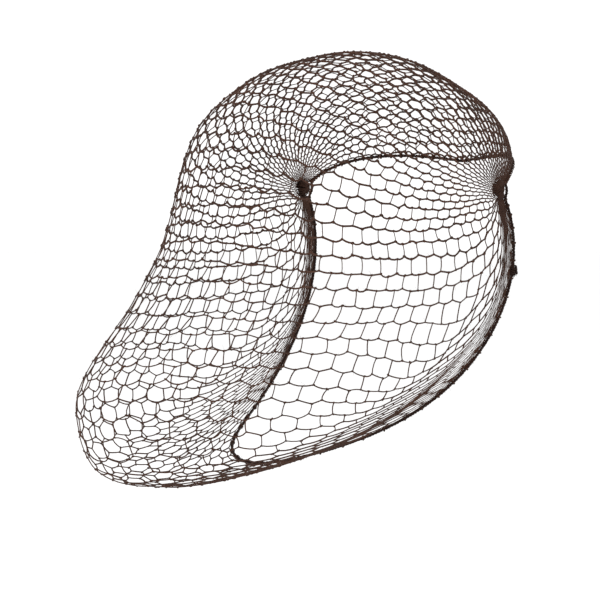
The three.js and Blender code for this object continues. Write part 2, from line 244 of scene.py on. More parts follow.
def beside_edge(edge, along, distance):
    """Points beside the forehead edge (0) or the nape edge (1), away from the netting."""
    depth, step = 0.01, 0.004
    down = np.full_like(along, float(edge))
    place = form_point(down, along)
    away = place - form_point(np.abs(down - depth), along)
    tangent = unit(form_point(down, along + step) - form_point(down, along - step))
    away -= (away * tangent).sum(-1, keepdims=True) * tangent
    return place + unit(away) * distance


# Meshes from threads


def tubes(paths, radii, ups, sides=THREAD_SIDES, closed=False):
    """Round threads along many paths at once: corners, faces and thread coordinates."""
    count, rings = paths.shape[:2]
    if closed:
        run = unit(np.roll(paths, -1, axis=1) - np.roll(paths, 1, axis=1))
    else:
        run = unit(np.gradient(paths, axis=1))
    ups = ups if ups.ndim == 3 else ups[:, None]
    side = unit(np.cross(run, ups))
    lift = np.cross(side, run)
    turn = np.linspace(0, 2 * np.pi, sides, endpoint=False)[:, None]
    ring = np.cos(turn) * side[:, :, None] + np.sin(turn) * lift[:, :, None]
    radii = np.broadcast_to(radii, (count, rings))[..., None, None]
    points = (paths[:, :, None] + radii * ring).reshape(-1, 3)

    spans = rings if closed else rings - 1
    tube = np.arange(count)[:, None, None] * rings * sides
    i = np.arange(spans)[None, :, None]
    j = np.arange(sides)[None, None, :]
    here, ahead = tube + i * sides, tube + ((i + 1) % rings) * sides
    beside = (j + 1) % sides
    quads = np.stack([here + j, ahead + j, ahead + beside, here + beside], -1).reshape(-1, 4)

    steps = np.linalg.norm(np.diff(paths, axis=1, append=paths[:, :1]), axis=2)
    gone = np.concatenate([np.zeros((count, 1)), np.cumsum(steps, axis=1)], axis=1)
    low, high = gone[:, :spans, None], gone[:, 1 : spans + 1, None]
    u = np.broadcast_to(np.stack([j, j, j + 1, j + 1], -1) / sides, (count, spans, sides, 4))
    v = np.broadcast_to(np.stack([low, high, high, low], -1), (count, spans, sides, 4))
    uv = np.stack([u, v], -1).reshape(-1, 2)

    faces = [quads]
    if not closed:
        start = tube[:, 0] + np.arange(sides)
        end = tube[:, 0] + (rings - 1) * sides + np.arange(sides)[::-1]
        faces.append(np.concatenate([start, end]))
        uv = np.concatenate([uv, np.zeros((2 * count * sides, 2))])
    return points, faces, uv


def add_piece(name, threads, material, nodes):
    """One mesh from several sets of threads, riding on the body and standing for its nodes."""
    points = np.concatenate([t[0] for t in threads]) * MM
    corners, sizes, uv, first = [], [], [], 0
    for t in threads:
        for faces in t[1]:
            corners.append((faces + first).ravel())
            sizes.append(np.full(len(faces), faces.shape[1]))
        uv.append(t[2])
        first += len(t[0])
    corners, sizes = np.concatenate(corners), np.concatenate(sizes)
    mesh = bpy.data.meshes.new(name)
    mesh.vertices.add(len(points))
    mesh.vertices.foreach_set("co", points.astype(np.float32).ravel())
    mesh.loops.add(len(corners))
    mesh.loops.foreach_set("vertex_index", corners.astype(np.int32))
    mesh.polygons.add(len(sizes))
    starts = np.concatenate([[0], np.cumsum(sizes)[:-1]])
    mesh.polygons.foreach_set("loop_start", starts.astype(np.int32))
    mesh.update(calc_edges=True)
    mesh.polygons.foreach_set("use_smooth", sizes == 4)
    layer = mesh.uv_layers.new(name="thread")
    layer.data.foreach_set("uv", np.concatenate(uv).astype(np.float32).ravel())
    mesh.materials.append(material)
    piece = bpy.data.objects.new(name, mesh)
    bpy.context.scene.collection.objects.link(piece)
    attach(piece, "root")
    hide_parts(*nodes)


# Effects that the finishes share

ROUGHNESS_DRIFT = 0.35
FLUFF_RELIEF = 0.35


def new_group(name, inputs, outputs):
    group = bpy.data.node_groups.new(name, "ShaderNodeTree")
    for socket, kind, value in inputs:
        made = group.interface.new_socket(socket, in_out="INPUT", socket_type=kind)
        made.default_value = value
    for socket, kind in outputs:
        group.interface.new_socket(socket, in_out="OUTPUT", socket_type=kind)
    return group, group.nodes.new("NodeGroupInput"), group.nodes.new("NodeGroupOutput")


def math_node(tree, operation, a, b):
    node = tree.nodes.new("ShaderNodeMath")
    node.operation = operation
    for socket, value in zip(node.inputs, (a, b)):
        if isinstance(value, (int, float)):
            socket.default_value = value
        else:
            tree.links.new(value, socket)
    return node.outputs[0]


def make_twist_group():
    """The plies of a thread: ridges that run round it as they run along it."""
    group, given, out = new_group(
        "thread_twist",
        [("Plies", "NodeSocketFloat", 2.0), ("Turn length", "NodeSocketFloat", 1.6)],
        [("Height", "NodeSocketFloat"), ("Groove", "NodeSocketFloat")],
    )
    place = group.nodes.new("ShaderNodeUVMap")
    place.uv_map = "thread"
    split = group.nodes.new("ShaderNodeSeparateXYZ")
    group.links.new(place.outputs[0], split.inputs[0])
    around = math_node(group, "MULTIPLY", split.outputs[0], given.outputs["Plies"])
    along = math_node(group, "DIVIDE", split.outputs[1], given.outputs["Turn length"])
    turns = math_node(group, "MULTIPLY", math_node(group, "ADD", around, along), math.pi)
    ridge = math_node(group, "ABSOLUTE", math_node(group, "SINE", turns, 0.0), 0.0)
    height = math_node(group, "POWER", ridge, 0.6)
    group.links.new(height, out.inputs["Height"])
    # The groove mask, which the tint group uses to paint shade into the grooves between plies.
    group.links.new(math_node(group, "SUBTRACT", 1.0, height), out.inputs["Groove"])
    return group


def make_tint_and_shade_group():
    """Tints that wander from thread to thread, and painted shade: a darker colour laid into the
    grooves between plies, patchy with the fibre noise.
    """
    group, given, out = new_group(
        "fibre_tint_and_groove_shade",
        [
            ("Colour", "NodeSocketColor", (0.05, 0.03, 0.02, 1)),
            ("Warm colour", "NodeSocketColor", (0.1, 0.05, 0.03, 1)),
            ("Groove shade colour", "NodeSocketColor", (0.01, 0.01, 0.01, 1)),
            ("Groove shade amount", "NodeSocketFloat", 0.0),
            ("Roughness", "NodeSocketFloat", 0.7),
        ],
        [
            ("Colour", "NodeSocketColor"),
            ("Roughness", "NodeSocketFloat"),
            ("Fluff", "NodeSocketFloat"),
        ],
    )
    place = group.nodes.new("ShaderNodeTexCoord").outputs["Object"]
    noises = {}
    for name, scale, detail in (("drift", 38.0, 3.0), ("fibres", 2600.0, 4.0)):
        noise = group.nodes.new("ShaderNodeTexNoise")
        noise.inputs["Scale"].default_value = scale
        noise.inputs["Detail"].default_value = detail
        group.links.new(place, noise.inputs["Vector"])
        noises[name] = noise.outputs["Fac"]
    warm = group.nodes.new("ShaderNodeMapRange")
    warm.inputs["From Min"].default_value = 0.42
    warm.inputs["From Max"].default_value = 0.66
    group.links.new(noises["drift"], warm.inputs["Value"])
    colour = given.outputs["Colour"]
    # The second mix is painted shade: the dark colour goes into the grooves between plies, patchy
    # with the fibre noise.
    for share, other in (
        (warm.outputs["Result"], "Warm colour"),
        (math_node(group, "MULTIPLY", given.outputs["Groove shade amount"], noises["fibres"]), "Groove shade colour"),
    ):
        mix = group.nodes.new("ShaderNodeMix")
        mix.data_type = "RGBA"
        group.links.new(share, mix.inputs["Factor"])
        group.links.new(colour, mix.inputs["A"])
        group.links.new(given.outputs[other], mix.inputs["B"])
        colour = mix.outputs["Result"]
    group.links.new(colour, out.inputs["Colour"])
    centred = math_node(group, "SUBTRACT", noises["fibres"], 0.5)
    uneven = math_node(group, "MULTIPLY", centred, ROUGHNESS_DRIFT)
    rough = math_node(group, "ADD", uneven, given.outputs["Roughness"])
    group.links.new(rough, out.inputs["Roughness"])
    group.links.new(noises["fibres"], out.inputs["Fluff"])
    return group


TWIST = make_twist_group()
TINT_AND_SHADE = make_tint_and_shade_group()


def thread_finish(name, colour, warm, groove_shade, roughness, plies, turn, relief, sheen):
    """A spun thread: twisted plies, wandering tints, painted shade in the grooves between plies and
    a soft sheen.
    """
    material = bpy.data.materials.new(name)
    material.use_nodes = True
    tree = material.node_tree
    shader = tree.nodes["Principled BSDF"]
    shader.inputs["Sheen Weight"].default_value = sheen
    shader.inputs["Sheen Roughness"].default_value = 0.45
    shader.inputs["Specular IOR Level"].default_value = 0.12
    twist = tree.nodes.new("ShaderNodeGroup")
    twist.node_tree = TWIST
    twist.inputs["Plies"].default_value = plies
    twist.inputs["Turn length"].default_value = turn
    tint_and_shade = tree.nodes.new("ShaderNodeGroup")
    tint_and_shade.node_tree = TINT_AND_SHADE
    tint_and_shade.inputs["Colour"].default_value = (*colour, 1)
    tint_and_shade.inputs["Warm colour"].default_value = (*warm, 1)
    tint_and_shade.inputs["Groove shade colour"].default_value = (*groove_shade, 1)
    tint_and_shade.inputs["Roughness"].default_value = roughness
    # Painted shade: the grooves of the twist darken the thread's colour.
    tree.links.new(twist.outputs["Groove"], tint_and_shade.inputs["Groove shade amount"])
    tree.links.new(tint_and_shade.outputs["Colour"], shader.inputs["Base Color"])
    tree.links.new(tint_and_shade.outputs["Roughness"], shader.inputs["Roughness"])
    bump = tree.nodes.new("ShaderNodeBump")
    bump.inputs["Strength"].default_value = 0.8
    bump.inputs["Distance"].default_value = relief * MM
    fluff = math_node(tree, "MULTIPLY", tint_and_shade.outputs["Fluff"], FLUFF_RELIEF)
    height = math_node(tree, "ADD", twist.outputs["Height"], fluff)
    tree.links.new(height, bump.inputs["Height"])
    tree.links.new(bump.outputs["Normal"], shader.inputs["Normal"])
    return material


# Each finish gives its colour, its warm tint and the dark colour of the painted shade in its
# grooves.
NETTING = thread_finish(
    "netting_thread", (0.040, 0.018, 0.011), (0.062, 0.026, 0.015), (0.010, 0.004, 0.003),
    roughness=0.66, plies=2.0, turn=1.5, relief=0.10, sheen=0.03,
)
ELASTIC = thread_finish(
    "elastic_cover", (0.015, 0.006, 0.004), (0.028, 0.011, 0.006), (0.004, 0.002, 0.001),
    roughness=0.80, plies=6.0, turn=1.1, relief=0.12, sheen=0.02,
)
GATHERED = thread_finish(
    "gathered_thread", (0.028, 0.012, 0.007), (0.048, 0.020, 0.011), (0.007, 0.003, 0.002),
    roughness=0.72, plies=2.0, turn=1.5, relief=0.10, sheen=0.03,
)


# The netting

# How far knots stray, in half columns along and in rows down, and the waves that they share
PULL_ALONG, PULL_DOWN = 0.16, 0.06
JITTER_ALONG, JITTER_DOWN = 0.07, 0.04
WANDER_WAVES = 6
WANDER_ALONG, WANDER_DOWN = 0.45, 0.5

# Share of the half width beside a temple where knots don't stray, and how crowding starts there
TIED_SHARE = 0.15
CROWDING_HOLD = 0.97

# Sag of row threads in rows, bow of link threads in half columns, and the spread of their radii
ROW_SAG, ROW_SAG_SPREAD = 0.04, 0.05
LINK_BOW = 0.05
THREAD_VARIES = (0.88, 1.12)

# A tied crossing: its spread of sizes, outline, lean and hump, and the millimetres that it needs
KNOT_VARIES = (0.85, 1.2)
KNOT_PROFILE = (0.42, 0.86, 1.0, 0.86, 0.42)
KNOT_LEAN, KNOT_HUMP = 0.5, 0.18
LEAST_KNOT_ROOM, OPEN_KNOT_ROOM, SMALLEST_KNOT = 1.0, 4.5, 0.4

# Places down the middle, or shares along, between which one kind of netting turns into the next
LEVEL_ROWS = (0.30, 0.50)
SIDE_ROWS = (0.46, 0.56)
THINNER_ROWS = (0.52, 0.64)
BAG_ROWS = (0.62, 0.74)
BAG_ALONG = (0.22, 0.34)

# Steps in share along or down that measure the form beside a place
NEAR_ALONG = 0.003
EDGE_DEPTH = 0.05


def wander(row, half, reach):
    """A smooth field that pulls neighbouring knots the same way."""
    total = np.zeros(np.broadcast(row, half).shape)
    for _ in range(WANDER_WAVES):
        across = rng.uniform(-WANDER_ALONG, WANDER_ALONG)
        down = rng.uniform(-WANDER_DOWN, WANDER_DOWN)
        phase = rng.uniform(0, 2 * np.pi)
        total += np.sin(across * half + down * row + phase)
    return total * reach / math.sqrt(WANDER_WAVES)


def row_lines():
    """Place of every row line at the middle, from the forehead edge to the nape edge."""
    places, heights = np.array(ROW_HEIGHTS).T
    down = np.linspace(0, 1, LINE_SAMPLES)
    height = np.interp(down, places, heights)
    count = np.concatenate([[0.0], np.cumsum(2 / (height[1:] + height[:-1]))])
    return np.interp(np.linspace(0, count[-1], ROWS + 1), count, down)


def edge_spread():
    """Length of the form per share down, beside the nape edge, from the temple to the middle."""
    along = np.linspace(0, 0.5, 101)
    edge = form_point(np.ones_like(along), along)
    inside = form_point(np.full_like(along, 1 - EDGE_DEPTH), along)
    return along, np.linalg.norm(edge - inside, axis=1) / EDGE_DEPTH


EDGE_ALONG, EDGE_SPREAD = edge_spread()


def row_course(place, along):
    """Share down of a row at each share along: level at the side, then bunched by the elastic."""
    place, along = np.broadcast_arrays(place, along)
    from_temple = np.minimum(along, 1 - along)
    start = np.interp(place, COURSE_PLACES, COURSE_STARTS)
    bend = np.interp(place, COURSE_PLACES, COURSE_BENDS)

    def freed(distance):
        gap = distance - start
        return 1 - np.exp(-0.5 * (gap + np.hypot(gap, COURSE_SOFTNESS)) / bend)

    level = np.minimum(freed(from_temple) / freed(0.5), 1)
    level = 1 - (1 - level) * smooth(place, *LEVEL_ROWS)
    spread = np.interp(from_temple, EDGE_ALONG, EDGE_SPREAD)
    bunched = 1 / np.hypot(1 / MOST_BUNCHED, spread / (BUNCHING * EDGE_SPREAD[0]))
    return 1 - (1 - place) * (1 - (1 - level) * (1 - bunched))


def places_along(line, row, half):
    """Share along of every knot: of one mesh width at the middle, and crowded at the temples."""
    even = half / COLUMNS - 1
    free = smooth(1 - np.abs(even), 0.0, TIED_SHARE)
    jitter = JITTER_ALONG * rng.standard_normal(np.broadcast(row, half).shape)
    shift = jitter + wander(row, half, PULL_ALONG)
    even = np.abs(even + free * shift / COLUMNS)

    half_along = np.linspace(0.5, 0, 241)
    along = np.zeros(shift.shape)
    for r, place in enumerate(line):
        path = form_point(row_course(place, half_along), half_along)
        gone = gone_along(path)
        reach = gone[-1]
        wide = np.interp(place, COURSE_PLACES, MESH_WIDTHS) * COLUMNS / 2 / reach
        wide = np.clip(wide, 1.0, MOST_CROWDING)
        power = min(SHARPEST_CROWDING, CROWDING_HOLD * wide / max(wide - 1, TINY))
        distance = reach * (wide * even[r] - (wide - 1) * even[r] ** power)
        along[r] = np.interp(distance, gone, half_along)
    return np.where(half > COLUMNS, 1 - along, along)


def mesh_points(line, along):
    """How far each knot stands off its row line, in row heights."""
    on_bag = smooth(line, *BAG_ROWS)[:, None] * smooth(np.minimum(along, 1 - along), *BAG_ALONG)
    on_side = smooth(line, *SIDE_ROWS)[:, None] * (1 - on_bag)
    more_on_side = (POINT_ON_SIDE - POINT_ON_HEAD) * on_side
    more_on_bag = (POINT_ON_BAG - POINT_ON_HEAD) * on_bag
    point = POINT_ON_HEAD + more_on_side + more_on_bag
    point[[0, -1]] = POINT_ON_SIDE
    return point


def room_between_rows(line, row_height, along):
    """Distance between neighbouring row lines at every knot."""

    def on_row(place, share):
        return form_point(row_course(np.clip(place, 0, 1), share), share)

    above = on_row(line[:, None] - row_height / 2, along)
    below = on_row(line[:, None] + row_height / 2, along)
    before = np.clip(along - NEAR_ALONG, 0, 1)
    after = np.clip(along + NEAR_ALONG, 0, 1)
    run = on_row(line[:, None], after) - on_row(line[:, None], before)
    return np.linalg.norm(np.cross(below - above, unit(run)), axis=-1)


def net_knots():
    """Every knot's share down and along, its row and link radii, and the room round it."""
    line = row_lines()
    row_height = np.gradient(line)[:, None]
    row = np.arange(ROWS + 1)[:, None]
    half = np.arange(2 * COLUMNS + 1)[None, :]
    along = places_along(line, row, half)

    side = np.where((row + half) % 2 == 0, 1, -1)
    point = mesh_points(line, along)
    margin = POINT_ON_SIDE * row_height[[0, -1], 0]
    line = margin[0] + line * (1 - margin.sum())
    inside = (row > 0) & (row < ROWS)
    loose = JITTER_DOWN * rng.standard_normal(side.shape) + wander(row, half, PULL_DOWN)
    place = line[:, None] + (side * point + inside * loose) * row_height
    down = np.clip(row_course(np.clip(place, 0, 1), along), 0, 1)

    room = room_between_rows(line, row_height, along)
    fine = np.interp(room, *np.array(THREAD_SHARES).T)
    low = smooth(line, *THINNER_ROWS)[:, None]
    row_radius = (ROW_RADIUS_HEAD + (ROW_RADIUS_BAG - ROW_RADIUS_HEAD) * low) * fine
    link_radius = (LINK_RADIUS_HEAD + (LINK_RADIUS_BAG - LINK_RADIUS_HEAD) * low) * fine
    return down, np.clip(along, 0, 1), row_radius, link_radius, room


DOWN, ALONG, ROW_RADIUS, LINK_RADIUS, ROOM = net_knots()


def knot_point(rows, halves):
    return form_point(DOWN[rows, halves], ALONG[rows, halves])


def threads_between(rows, halves, step_row, step_half, bow_down, bow_along, radii):
    """Threads from each knot to the one that lies step rows and halves further."""
    start = (DOWN[rows, halves], ALONG[rows, halves])
    end = (DOWN[rows + step_row, halves + step_half], ALONG[rows + step_row, halves + step_half])
    t = np.linspace(0, 1, THREAD_RINGS)
    arc = 4 * t * (1 - t)
    down = start[0][:, None] * (1 - t) + end[0][:, None] * t + bow_down[:, None] * arc
    along = start[1][:, None] * (1 - t) + end[1][:, None] * t + bow_along[:, None] * arc
    paths = form_point(down, along)
    ups = form_normal((start[0] + end[0]) / 2, (start[1] + end[1]) / 2)
    long_enough = np.linalg.norm(paths[:, -1] - paths[:, 0], axis=1) > SHORTEST_THREAD
    return tubes(paths[long_enough], radii[long_enough, None], ups[long_enough])


def row_threads(first, last):
    rows, halves = (x.ravel() for x in np.mgrid[first:last, 0 : 2 * COLUMNS])
    size = len(rows)
    sag = (ROW_SAG + ROW_SAG_SPREAD * rng.standard_normal(size)) / ROWS
    radii = ROW_RADIUS[rows, halves] * rng.uniform(*THREAD_VARIES, size)
    return threads_between(rows, halves, 0, 1, sag, np.zeros(size), radii)


def link_threads(first, last):
    rows, halves = (x.ravel() for x in np.mgrid[first:last, 0 : 2 * COLUMNS + 1])
    keep = ((rows + halves) % 2 == 0) & (rows < ROWS)
    rows, halves = rows[keep], halves[keep]
    size = len(rows)
    bow = LINK_BOW * rng.standard_normal(size) / (2 * COLUMNS)
    radii = LINK_RADIUS[rows, halves] * rng.uniform(*THREAD_VARIES, size)
    return threads_between(rows, halves, 1, 0, np.zeros(size), bow, radii)


def knots(first, last):
    """A short thick turn of thread over every crossing that has room for it."""
    rows, halves = (x.ravel() for x in np.mgrid[first:last, 0 : 2 * COLUMNS + 1])
    before, after = np.maximum(halves - 1, 0), np.minimum(halves + 1, 2 * COLUMNS)
    run = knot_point(rows, after) - knot_point(rows, before)
    room = np.minimum(np.linalg.norm(run, axis=1) / 2, ROOM[rows, halves])
    keep = room > LEAST_KNOT_ROOM
    rows, halves, run, room = rows[keep], halves[keep], unit(run[keep]), room[keep]
    centre = knot_point(rows, halves)
    up = form_normal(DOWN[rows, halves], ALONG[rows, halves])
    tightness = np.clip(room / OPEN_KNOT_ROOM, SMALLEST_KNOT, 1.0)
    size = rng.uniform(*KNOT_VARIES, len(centre)) * tightness
    lean = rng.normal(0, KNOT_LEAN, len(centre))[:, None]
    run = unit(run + lean * np.cross(up, run))
    t = np.linspace(-1, 1, len(KNOT_PROFILE))
    reach = (KNOT_HALF_LENGTH * size)[:, None] * t
    hump = (KNOT_HUMP * size)[:, None] * (1 - t**2)
    paths = centre[:, None] + reach[..., None] * run[:, None] + hump[..., None] * up[:, None]
    profile = np.array(KNOT_PROFILE) * KNOT_THICKNESS
    return tubes(paths, profile * (size * ROW_RADIUS[rows, halves])[:, None], up)


# Name, first row and the row that starts the next zone
ZONES = (
    ("net_front", 0, 14),
    ("net_crown", 14, 28),
    ("net_back", 28, 42),
    ("net_bag", 42, ROWS + 1),
)
for zone, first, last in ZONES:
    threads = [row_threads(first, last), link_threads(first, last), knots(first, last)]
    add_piece(zone, threads, NETTING, ["net"])


# The elastic and the loops that hold it

ELASTIC_RINGS = 1800
EDGE_SAMPLES, TURN_SAMPLES = 400, 14
SOFTENING_ROUNDS = 12
PLY_COUNT = 3
PLY_RADIUS = 0.47
PLY_LAY = 0.46
PLY_TURN_LENGTH = 5.2
PLY_SLACK, FIRST_SLACK_WAVES, MORE_SLACK_WAVES = 0.10, 23, 7

# Waves round the loop, and the share by which each swells a ply
PLY_SWELLS = ((131, 0.10), (57, 0.06))

LOOP_RADIUS, LOOP_THREAD_RADIUS = 1.22, 0.24
LOOP_VARIES = (0.96, 1.08)
LOOP_PLACES = (-0.30, 0.32)
LOOP_LEAN, LOOP_SLANT = 0.18, 0.25
LOOP_RINGS = 14
EDGE_STEP = 0.004


def clear_of_gather(points):
    out = np.hypot(points[:, 1], points[:, 2])
    least = GATHER_RADIUS + CLEARANCE + ELASTIC_RADIUS
    push = np.maximum(least / np.maximum(out, TINY), 1)
    return points * np.stack([np.ones_like(push), push, push], -1)


def resampled(points, count):
    """A closed line as evenly spaced points."""
    loop = np.concatenate([points, points[:1]])
    gone = gone_along(loop)
    even = np.linspace(0, gone[-1], count, endpoint=False)
    return np.stack([np.interp(even, gone, loop[:, k]) for k in range(3)], -1)


def softened(points, rounds):
    for _ in range(rounds):
        points = (np.roll(points, 1, axis=0) + 2 * points + np.roll(points, -1, axis=0)) / 4
    return points


def elastic_line(count):
    """Middle line of the elastic: both edges, joined by a short turn past each gather."""
    along = np.linspace(0, 1, EDGE_SAMPLES)
    forehead = clear_of_gather(beside_edge(0, along, CLEARANCE + ELASTIC_RADIUS))
    nape = clear_of_gather(beside_edge(1, along, CLEARANCE + ELASTIC_RADIUS))[::-1]
    turns = []
    for start, end in ((forehead[-1], nape[0]), (nape[-1], forehead[0])):
        share = np.linspace(0, 1, TURN_SAMPLES)[1:-1, None]
        turns.append(clear_of_gather(start * (1 - share) + end * share))
    points = np.concatenate([forehead, turns[0], nape, turns[1]])
    return softened(resampled(points, count), SOFTENING_ROUNDS)


def closed_frames(line):
    """Two directions square to a closed line that turn little and meet at the end."""
    run = unit(np.roll(line, -1, axis=0) - np.roll(line, 1, axis=0))
    first = unit(np.cross(run[0], (0.3, 0.2, 1.0)))
    sides = [first]
    for tangent in [*run[1:], run[0]]:
        side = sides[-1] - tangent * (sides[-1] @ tangent)
        sides.append(side / np.linalg.norm(side))
    sides = np.array(sides)
    miss = math.atan2(np.cross(sides[0], sides[-1]) @ run[0], sides[0] @ sides[-1])
    sides = sides[:-1]
    lifts = np.cross(run, sides)
    angle = (-miss * np.arange(len(line)) / len(line))[:, None]
    turned = np.cos(angle) * sides + np.sin(angle) * lifts
    return turned, np.cos(angle) * lifts - np.sin(angle) * sides


ELASTIC_LINE = elastic_line(ELASTIC_RINGS)
ELASTIC_SIDES, ELASTIC_LIFTS = closed_frames(ELASTIC_LINE)


def elastic_plies():
    """The plies of the cord, laid round its middle line, each a little slack and uneven."""
    length = gone_along(np.concatenate([ELASTIC_LINE, ELASTIC_LINE[:1]]))[-1]
    turns = round(length / PLY_TURN_LENGTH)
    share = np.arange(ELASTIC_RINGS) / ELASTIC_RINGS
    paths, ups = [], []
    for ply in range(PLY_COUNT):
        angle = (2 * np.pi * (ply / PLY_COUNT + turns * share))[:, None]
        waves = FIRST_SLACK_WAVES + MORE_SLACK_WAVES * ply
        lay = PLY_LAY * (1 + PLY_SLACK * np.sin(2 * np.pi * waves * share))[:, None]
        out = np.cos(angle) * ELASTIC_SIDES + np.sin(angle) * ELASTIC_LIFTS
        paths.append(ELASTIC_LINE + lay * out)
        ups.append(out)
    swell = np.ones(ELASTIC_RINGS)
    for waves, depth in PLY_SWELLS:
        swell += depth * np.sin(2 * np.pi * waves * share)
    radii = (PLY_RADIUS * swell)[None]
    return tubes(np.array(paths), radii, np.array(ups), sides=7, closed=True)


def edge_loops(edge):
    """Loops that tie each point of the net's edge round the elastic."""
    row = 0 if edge == 0 else ROWS
    points = np.arange(2 * COLUMNS + 1)
    points = points[(points + row) % 2 == (1 if edge == 0 else 0)]
    along = ALONG[row, points]
    centre = clear_of_gather(beside_edge(edge, along, CLEARANCE + ELASTIC_RADIUS))
    down = np.full_like(along, float(edge))
    run = unit(form_point(down, along + EDGE_STEP) - form_point(down, along - EDGE_STEP))
    inward = unit(form_point(down, along) - centre)
    lift = np.cross(inward, run)
    run = unit(run + rng.normal(0, LOOP_LEAN, (len(along), 1)) * lift)
    made = []
    for turn, place in enumerate(LOOP_PLACES):
        angle = np.linspace(0, 2 * np.pi, LOOP_RINGS, endpoint=False)[None, :, None]
        radius = LOOP_RADIUS * rng.uniform(*LOOP_VARIES, (len(along), 1, 1))
        paths = (
            centre[:, None]
            + radius * (np.cos(angle) * inward[:, None] + np.sin(angle) * lift[:, None])
            + (place + LOOP_SLANT * np.sin(angle + turn)) * run[:, None]
        )
        ups = np.broadcast_to(run[:, None], paths.shape)
        made.append(tubes(paths, LOOP_THREAD_RADIUS, ups, sides=5, closed=True))
    return made


add_piece("edge_elastic_cord", [elastic_plies()], ELASTIC, ["edge_elastic"])
add_piece("edge_loops", edge_loops(0) + edge_loops(1), NETTING, ["net"])


# The temple gathers

GATHER_RINGS = 30
GATHER_LOOPS = 30
GATHER_THREAD_RADIUS, WRAP_THREAD_RADIUS = 0.24, 0.30
GATHER_MARGIN_ASIDE, GATHER_MARGIN_OUT = 0.45, 0.4
GATHER_SPREADS = (0.60, 1.0)
GATHER_HEIGHTS = (0.80, 1.0)
GATHER_UNEVEN = 0.3
GATHER_JITTER_OUT, GATHER_JITTER_ASIDE = 0.12, 0.15
WAIST_DEPTH, WAIST_PLACE, WAIST_WIDTH = 0.45, 0.62, 0.05

# Place of each wrap along the gather, and how much tighter it is than the first
WRAPS = ((1.5, 0.0), (1.9, 0.1), (2.3, 0.3))
WRAP_RADIUS = GATHER_RADIUS - 3.2
WRAP_WOBBLE, WRAP_LUMPS = 0.12, 0.15

MOUTH_RADIUS = 1.2
MOUTH_HEIGHTS = (1.6, 2.6)
END_RISE = 1.3
END_RINGS = 8


def gather_loops(side):
    """Loops of thread over a flat bunch, drawn in at the waist."""
    t = np.linspace(0, 2 * np.pi, GATHER_RINGS, endpoint=False)[None, :]
    uneven = rng.uniform(-GATHER_UNEVEN, GATHER_UNEVEN, GATHER_LOOPS)
    phi = (np.pi * (np.arange(GATHER_LOOPS) + uneven) / GATHER_LOOPS)[:, None]
    widest = GATHER_RADIUS - GATHER_MARGIN_ASIDE
    highest = GATHER_HALF_HEIGHT - GATHER_MARGIN_OUT
    wide = widest * rng.uniform(*GATHER_SPREADS, (GATHER_LOOPS, 1))
    high = highest * rng.uniform(*GATHER_HEIGHTS, (GATHER_LOOPS, 1))
    waist = 1 - WAIST_DEPTH * np.exp(-((np.cos(t) - WAIST_PLACE) ** 2) / WAIST_WIDTH)
    out_jitter = rng.normal(0, GATHER_JITTER_OUT, (GATHER_LOOPS, 1))
    back_jitter = rng.normal(0, GATHER_JITTER_ASIDE, (GATHER_LOOPS, 1))
    up_jitter = rng.normal(0, GATHER_JITTER_ASIDE, (GATHER_LOOPS, 1))
    return np.stack(
        [
            side * high * np.cos(t) + out_jitter,
            wide * np.sin(t) * waist * np.cos(phi) + back_jitter,
            wide * np.sin(t) * waist * np.sin(phi) + up_jitter,
        ],
        -1,
    )


def gather_wraps(side):
    """A few turns of thread that bind the bunch."""
    turn = np.linspace(0, 2 * np.pi, GATHER_RINGS, endpoint=False)[None, :]
    place, tighter = np.array(WRAPS).T[..., None]
    ring = WRAP_RADIUS - tighter
    return np.stack(
        [
            side * (place + WRAP_WOBBLE * np.sin(turn + place * 9)),
            ring * np.cos(turn) + WRAP_LUMPS * np.sin(3 * turn),
            ring * np.sin(turn) + WRAP_LUMPS * np.cos(2 * turn),
        ],
        -1,
    )


def temple_gather(side):
    """Drawn-up meshes: loops of thread, the turns that bind them and the ends of all rows."""
    centre = np.array([side * TEMPLE_HALF_WIDTH, 0.0, 0.0])
    axis = np.array([float(side), 0.0, 0.0])
    paths = gather_loops(side)
    loops = tubes(centre + paths, GATHER_THREAD_RADIUS, unit(paths), sides=5, closed=True)
    wraps = gather_wraps(side)
    ups = np.broadcast_to(axis, wraps.shape)
    bound = tubes(centre + wraps, WRAP_THREAD_RADIUS, ups, sides=6, closed=True)

    rows = np.arange(ROWS + 1)
    start = knot_point(rows, 0 if side < 0 else 2 * COLUMNS)
    spread = unit((start - centre) * (0, 1, 1))
    height = rng.uniform(*MOUTH_HEIGHTS, (len(rows), 1))
    mouth = centre + spread * MOUTH_RADIUS + height * axis
    share = np.linspace(0, 1, END_RINGS)[None, :, None]
    rise = END_RISE * np.sin(np.pi * share) * axis
    paths = start[:, None] * (1 - share) + mouth[:, None] * share + rise
    ends = tubes(paths, GATHER_THREAD_RADIUS, np.broadcast_to(axis, (len(rows), 3)))
    return [loops, bound, ends]


for name, side in (("right", -1), ("left", 1)):
    node = f"temple_gather_{name}"
    add_piece(f"gather_{name}", temple_gather(side), GATHERED, [node])


# The knot in the elastic

KNOT_RINGS = 90

# Size, tilt and thread radius of each turn of the tangle
TANGLE = ((0.72, 0.0, 0.42), (0.55, 1.1, 0.34), (0.64, 2.3, 0.30))
TANGLE_INWARD = 2.3
TANGLE_STRETCH, TANGLE_FLATNESS, TANGLE_DEPTH = 1.6, 0.75, 0.85

# Place of each turn round the cord
KNOT_WRAPS = (-1.3, 0.0, 1.2)
KNOT_WRAP_RADIUS, KNOT_WRAP_SLANT, KNOT_WRAP_THREAD = 1.35, 0.5, 0.42

TAIL_COUNT, TAIL_RINGS = 14, 12
TAIL_LENGTHS, TAIL_RADII = (1.8, 4.6), (0.10, 0.24)
TAIL_ALONG, TAIL_ASIDE, TAIL_OFF = 0.9, 0.45, 0.5
TAIL_CURL, TAIL_CURL_TURN, TAIL_INWARD = 1.8, 2.8, 1.6
TAIL_TAPER = 0.6


